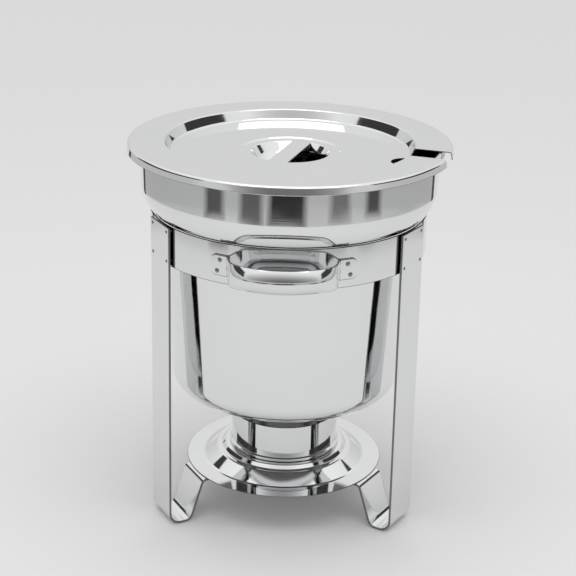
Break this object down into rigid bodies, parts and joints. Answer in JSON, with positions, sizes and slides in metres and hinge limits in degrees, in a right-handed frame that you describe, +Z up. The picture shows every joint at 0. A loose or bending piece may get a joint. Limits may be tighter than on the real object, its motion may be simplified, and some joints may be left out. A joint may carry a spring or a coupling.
{
  "type": "soup kettle",
  "caption": "Round stainless soup kettle: nested pans with a notched lid, hung in a three-legged stand over a fuel cup.",
  "frame": {"origin": "centre of the floor circle through the three feet, on the surface the kettle stands on", "axes": "+Z up, -Y towards the front handle, +X to the right of the front handle"},
  "size_m": [0.2884, 0.304, 0.3466],
  "materials": {
    "stand_steel": "bright rolled stainless strip, lightly drawn",
    "rivet_steel": "plain stainless rivets and weld nuggets",
    "plate_steel": "mirror-polished stainless sheet",
    "cup_steel": "mirror-polished stainless sheet with a rolled foot",
    "pan_steel": "mirror-polished stainless sheet",
    "food_pan_steel": "satin inside, polished rim, stainless sheet",
    "lid_steel": "mirror-polished stainless sheet"
  },
  "bodies": {
    "stand": {"ring_band": "stand_steel", "leg_front_left": "stand_steel", "leg_front_right": "stand_steel", "leg_rear": "stand_steel", "leg_front_left_rivets": "rivet_steel", "leg_front_right_rivets": "rivet_steel", "leg_rear_rivets": "rivet_steel", "handle_front": "stand_steel", "handle_rear": "stand_steel", "handle_front_rivets": "rivet_steel", "handle_rear_rivets": "rivet_steel", "fuel_plate": "plate_steel", "plate_welds": "rivet_steel"},
    "fuel_cup": {"fuel_cup": "cup_steel"},
    "water_pan": {"water_pan": "pan_steel"},
    "food_pan": {"food_pan": "food_pan_steel"},
    "lid": {"lid_cover": "lid_steel"}
  },
  "joints": [
    {"name": "water_pan_lift", "type": "slide", "parent": "stand", "child": "water_pan", "axis": [0, 0, 1], "range_m": [0, 0.18]},
    {"name": "food_pan_lift", "type": "slide", "parent": "water_pan", "child": "food_pan", "axis": [0, 0, 1], "range_m": [0, 0.215]},
    {"name": "lid_lift", "type": "slide", "parent": "food_pan", "child": "lid", "axis": [0, 0, 1], "range_m": [0, 0.06]},
    {"name": "fuel_cup_lift", "type": "slide", "parent": "stand", "child": "fuel_cup", "axis": [0, 0, 1], "range_m": [0, 0.02]}
  ]
}
